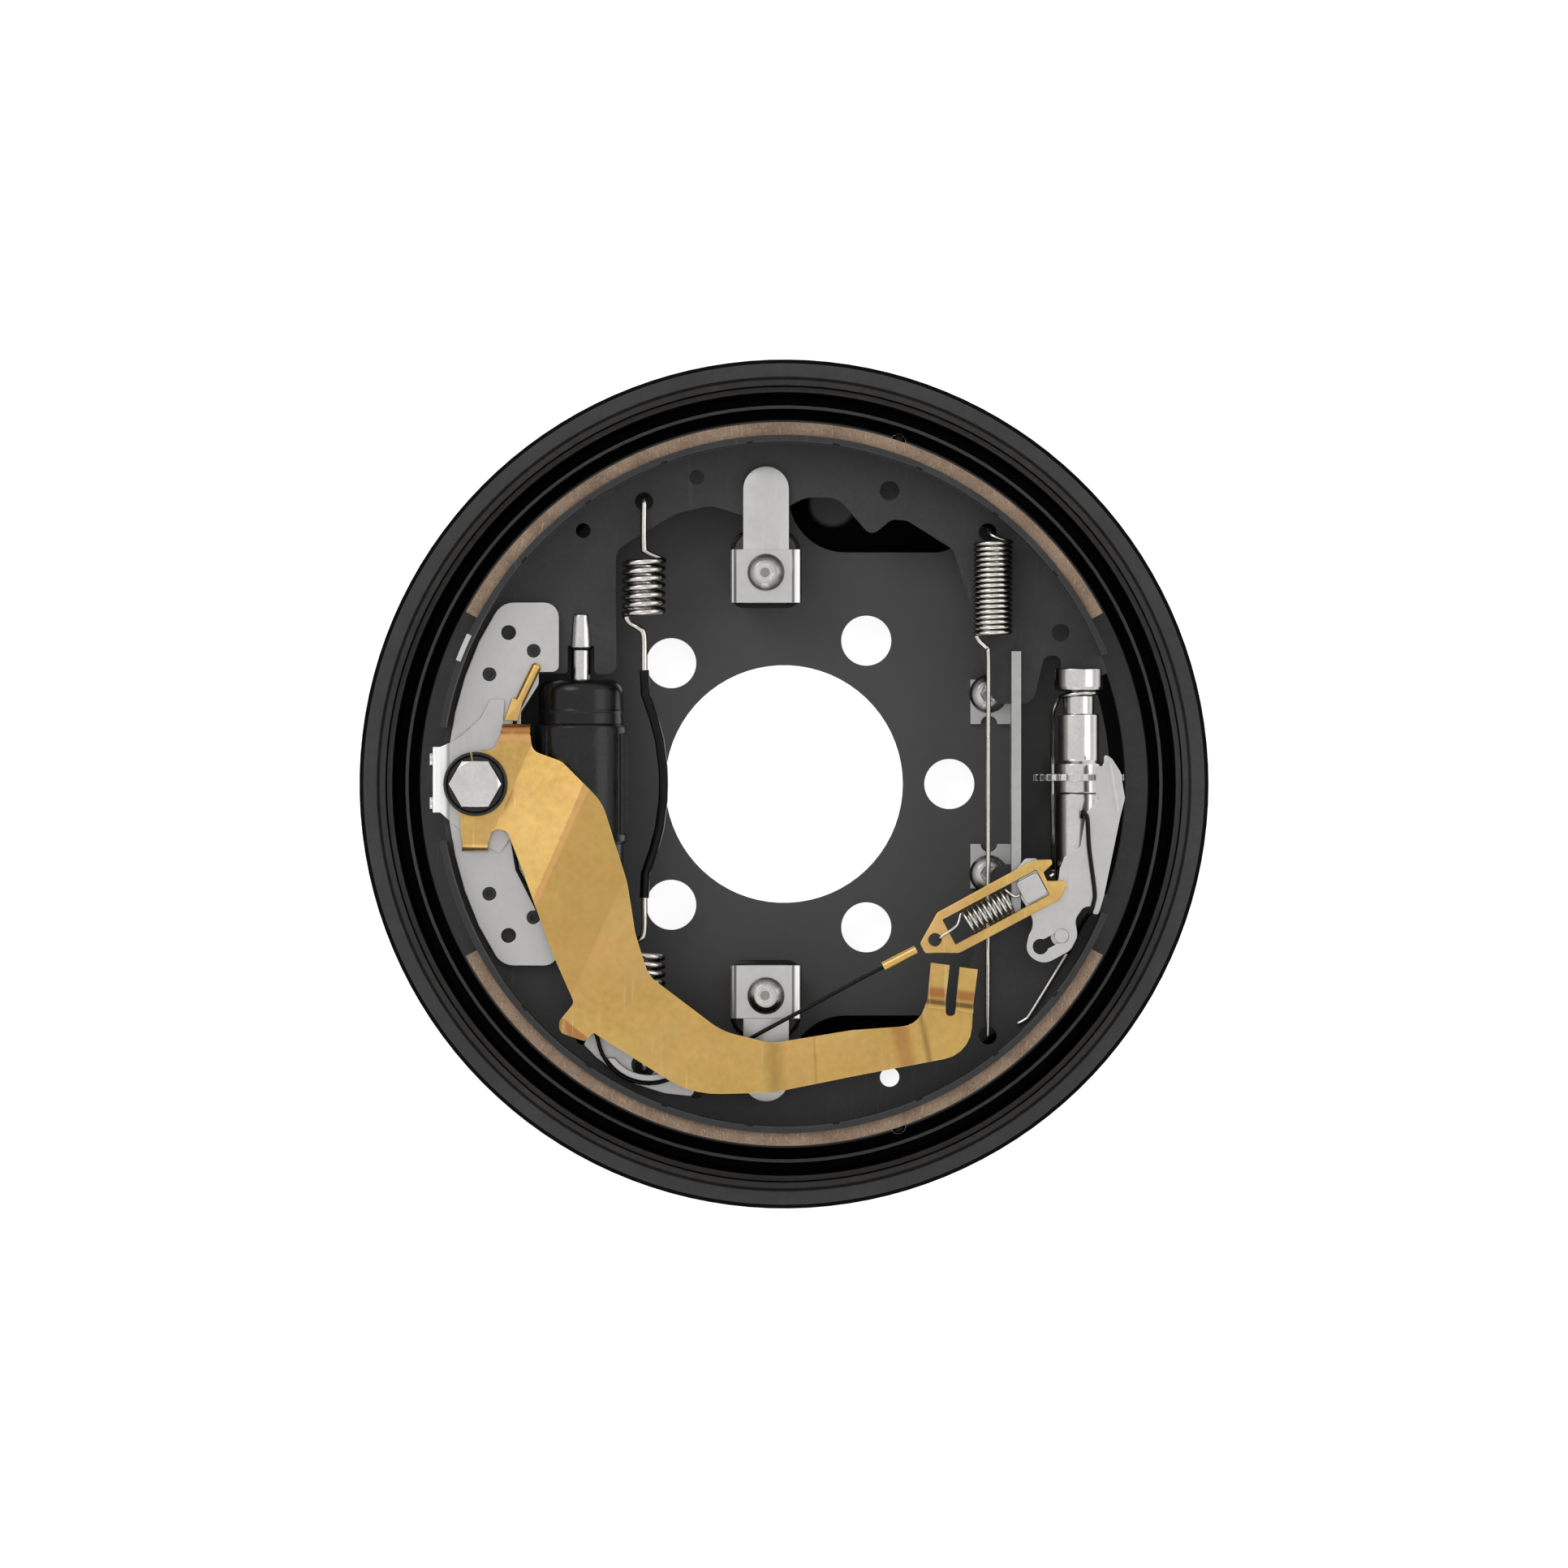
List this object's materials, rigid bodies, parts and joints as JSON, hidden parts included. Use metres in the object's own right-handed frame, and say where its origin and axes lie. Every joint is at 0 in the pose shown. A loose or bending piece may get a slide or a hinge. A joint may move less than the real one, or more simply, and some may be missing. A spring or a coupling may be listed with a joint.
{
  "type": "drum brake assembly",
  "caption": "Duo-servo drum brake on a pressed backing plate, with wheel cylinder, shoes, return springs, star-wheel adjuster and park lever.",
  "frame": {"origin": "on the axle line, in the plane of the backing plate's rear rim", "axes": "+Z along the axle towards the drum side, +X from the anchor to the adjuster, +Y towards the upper shoe"},
  "size_m": [0.3599, 0.36, 0.0678],
  "materials": {
    "black_plate": "black electrophoretic coat on pressed steel",
    "black_casting": "black coated casting",
    "zinc_sheet": "clear zinc on sheet steel",
    "bright_steel": "bright plated turned steel",
    "spring_steel": "bright spring wire",
    "gold_zinc": "yellow passivated zinc on sheet steel",
    "lining": "moulded friction material",
    "rubber": "moulded rubber",
    "black_wire": "black coated wire and sheath",
    "black_screw": "black oxide screws",
    "aluminium": "turned aluminium",
    "grey_plug": "grey rubber plug"
  },
  "bodies": {
    "root": {"backing_plate": "black_plate", "cylinder_body": "black_casting", "anchor_plate": "zinc_sheet", "anchor_bracket": "zinc_sheet", "bracket_rivets": "zinc_sheet", "upper_hold_down_leaf": "zinc_sheet", "lower_hold_down_leaf": "zinc_sheet", "guard_rail": "zinc_sheet", "anchor_post": "bright_steel", "pivot_bush": "bright_steel", "anchor_bolt": "bright_steel", "anchor_nut": "bright_steel", "cylinder_bolts": "bright_steel", "bleeder_screw": "bright_steel", "upper_hold_down_seat": "bright_steel", "lower_hold_down_seat": "bright_steel", "upper_hold_down_clip": "bright_steel", "lower_hold_down_clip": "bright_steel", "hold_down_screws": "bright_steel", "guard_rail_screws": "bright_steel", "adjuster_nut": "bright_steel", "cylinder_spring": "spring_steel", "left_return_spring": "spring_steel", "right_return_spring": "spring_steel", "cable_end_fitting": "gold_zinc", "upper_boot": "rubber", "lower_boot": "rubber", "spring_sheath": "black_wire", "adjuster_cable": "black_wire", "anchor_plate_screws": "black_screw", "lock_ring": "black_screw", "inspection_plug": "grey_plug"},
    "upper_piston": {"upper_piston": "aluminium", "upper_cup": "rubber", "upper_pushrod": "bright_steel"},
    "lower_piston": {"lower_piston": "aluminium", "lower_cup": "rubber", "lower_pushrod": "bright_steel"},
    "adjuster_end": {"adjuster_cap": "bright_steel", "adjuster_link": "bright_steel"},
    "star_wheel": {"adjuster_screw": "bright_steel"},
    "upper_shoe": {"upper_shoe": "black_plate", "upper_lining": "lining"},
    "lower_shoe": {"lower_shoe": "black_plate", "lower_lining": "lining", "lever_pin_stud": "zinc_sheet", "lever_return_spring": "black_wire", "cable_guide": "zinc_sheet"},
    "adjuster_lever": {"adjuster_lever": "zinc_sheet"},
    "yoke": {"yoke": "gold_zinc", "yoke_spring": "spring_steel", "yoke_crimp": "gold_zinc"},
    "park_lever": {"park_lever": "gold_zinc"}
  },
  "joints": [
    {"name": "adjuster_travel", "type": "slide", "parent": "root", "child": "adjuster_end", "axis": [0, 1, 0], "range_m": [0, 0.00254]},
    {"name": "star_wheel_spin", "type": "hinge", "parent": "adjuster_end", "child": "star_wheel", "pos_m": [0.1244, 0, 0.038], "axis": [0, 1, 0], "range_deg": [0, 720]},
    {"name": "upper_shoe_pivot", "type": "hinge", "parent": "adjuster_end", "child": "upper_shoe", "pos_m": [0.1244, 0.0446, 0.038], "axis": [0, 0, -1], "range_deg": [0, 0.6], "deforming": ["left_return_spring", "right_return_spring"]},
    {"name": "lower_shoe_pivot", "type": "hinge", "parent": "root", "child": "lower_shoe", "pos_m": [0.1244, -0.0446, 0.038], "axis": [0, 0, 1], "range_deg": [0, 0.6], "deforming": ["adjuster_cable"]},
    {"name": "upper_piston_slide", "type": "slide", "parent": "root", "child": "upper_piston", "axis": [0, 1, 0], "range_m": [0, 0.0023]},
    {"name": "lower_piston_slide", "type": "slide", "parent": "root", "child": "lower_piston", "axis": [0, -1, 0], "range_m": [0, 0.0023]},
    {"name": "adjuster_lever_swing", "type": "hinge", "parent": "lower_shoe", "child": "adjuster_lever", "pos_m": [0.1168, -0.0639, 0.0587], "axis": [0, 0, 1], "range_deg": [0, 3.1], "deforming": ["lever_return_spring"]},
    {"name": "yoke_pull", "type": "slide", "parent": "root", "child": "yoke", "axis": [-0.85, -0.5268, 0], "range_m": [0, 0.0014]},
    {"name": "park_lever_swing", "type": "hinge", "parent": "root", "child": "park_lever", "pos_m": [-0.1299, 0, 0.053], "axis": [0, 0, 1], "range_deg": [0, 3]}
  ],
  "couplings": [
    {"joint": "star_wheel_spin", "follows": "adjuster_travel", "rad_per_m": 4947},
    {"joint": "upper_piston_slide", "follows": "upper_shoe_pivot", "m_per_rad": 0.2101},
    {"joint": "lower_piston_slide", "follows": "lower_shoe_pivot", "m_per_rad": 0.2101},
    {"joint": "adjuster_lever_swing", "follows": "lower_shoe_pivot", "ratio": 5},
    {"joint": "yoke_pull", "follows": "lower_shoe_pivot", "m_per_rad": 0.128}
  ]
}
